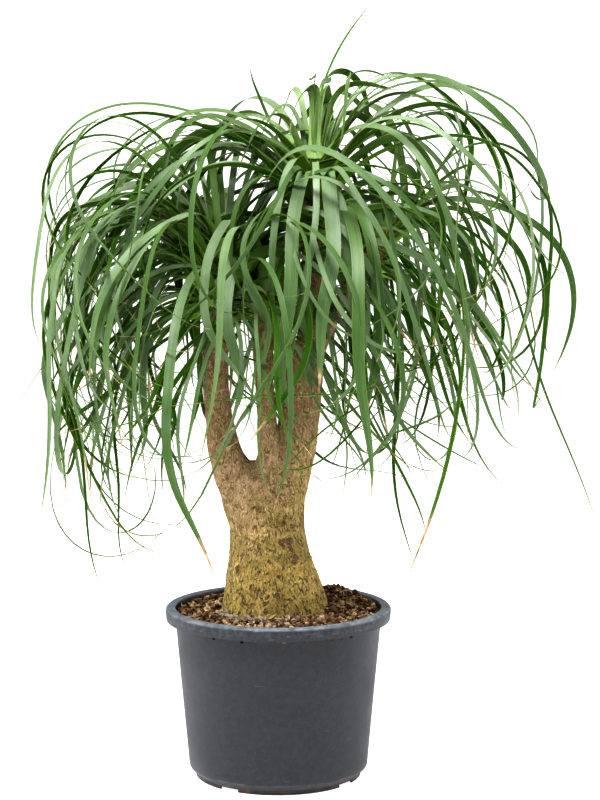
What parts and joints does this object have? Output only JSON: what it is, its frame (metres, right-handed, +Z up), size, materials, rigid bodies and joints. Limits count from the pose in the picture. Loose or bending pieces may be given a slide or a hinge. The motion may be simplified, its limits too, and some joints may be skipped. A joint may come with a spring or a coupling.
{
  "type": "potted ponytail palm",
  "caption": "Ponytail palm with a swollen, branched trunk and fountains of long arching strap leaves, standing in a round dark grey nursery pot.",
  "frame": {"origin": "centre of the pot's foot, on the surface that it stands on", "axes": "+Z up along the pot's axis, -Y towards the front of the plant, +X to its right as seen from the front"},
  "size_m": [0.7842, 0.5725, 1.054],
  "materials": {
    "container_plastic": "matte",
    "potting_soil": "rough",
    "bark": "rough",
    "leaf_blade": "satin"
  },
  "bodies": {
    "root": {"left_crown_leaf_01": "leaf_blade", "left_crown_leaf_02": "leaf_blade", "left_crown_leaf_03": "leaf_blade", "left_crown_leaf_04": "leaf_blade", "left_crown_leaf_05": "leaf_blade", "left_crown_leaf_06": "leaf_blade", "left_crown_leaf_07": "leaf_blade", "left_crown_leaf_08": "leaf_blade", "left_crown_leaf_09": "leaf_blade", "left_crown_leaf_10": "leaf_blade", "left_crown_leaf_11": "leaf_blade", "left_crown_leaf_12": "leaf_blade", "left_crown_leaf_13": "leaf_blade", "left_crown_leaf_14": "leaf_blade", "left_crown_leaf_15": "leaf_blade", "middle_crown_leaf_01": "leaf_blade", "middle_crown_leaf_02": "leaf_blade", "middle_crown_leaf_03": "leaf_blade", "middle_crown_leaf_04": "leaf_blade", "middle_crown_leaf_05": "leaf_blade", "nursery_pot": "container_plastic", "potting_soil": "potting_soil", "right_crown_leaf_01": "leaf_blade", "right_crown_leaf_02": "leaf_blade", "right_crown_leaf_03": "leaf_blade", "right_crown_leaf_04": "leaf_blade", "right_crown_leaf_05": "leaf_blade", "right_crown_leaf_06": "leaf_blade", "right_crown_leaf_07": "leaf_blade", "top_crown_leaf_01": "leaf_blade", "top_crown_leaf_02": "leaf_blade", "top_crown_leaf_03": "leaf_blade", "top_crown_leaf_04": "leaf_blade", "top_crown_leaf_05": "leaf_blade", "top_crown_leaf_06": "leaf_blade", "top_crown_leaf_07": "leaf_blade", "top_crown_leaf_08": "leaf_blade", "top_crown_leaf_09": "leaf_blade", "top_crown_leaf_10": "leaf_blade", "top_crown_leaf_11": "leaf_blade", "top_crown_leaf_12": "leaf_blade", "top_crown_leaf_13": "leaf_blade", "top_crown_leaf_14": "leaf_blade", "top_crown_leaf_15": "leaf_blade", "top_crown_leaf_16": "leaf_blade", "top_crown_leaf_17": "leaf_blade", "top_crown_leaf_18": "leaf_blade", "top_crown_leaf_19": "leaf_blade", "top_crown_leaf_20": "leaf_blade", "top_crown_leaf_21": "leaf_blade", "top_crown_leaf_22": "leaf_blade", "top_crown_leaf_23": "leaf_blade", "top_crown_leaf_24": "leaf_blade", "top_crown_leaf_25": "leaf_blade", "top_crown_leaf_26": "leaf_blade", "top_crown_leaf_27": "leaf_blade", "top_crown_leaf_28": "leaf_blade", "top_crown_leaf_29": "leaf_blade", "top_crown_leaf_30": "leaf_blade", "trunk": "bark"}
  },
  "joints": []
}
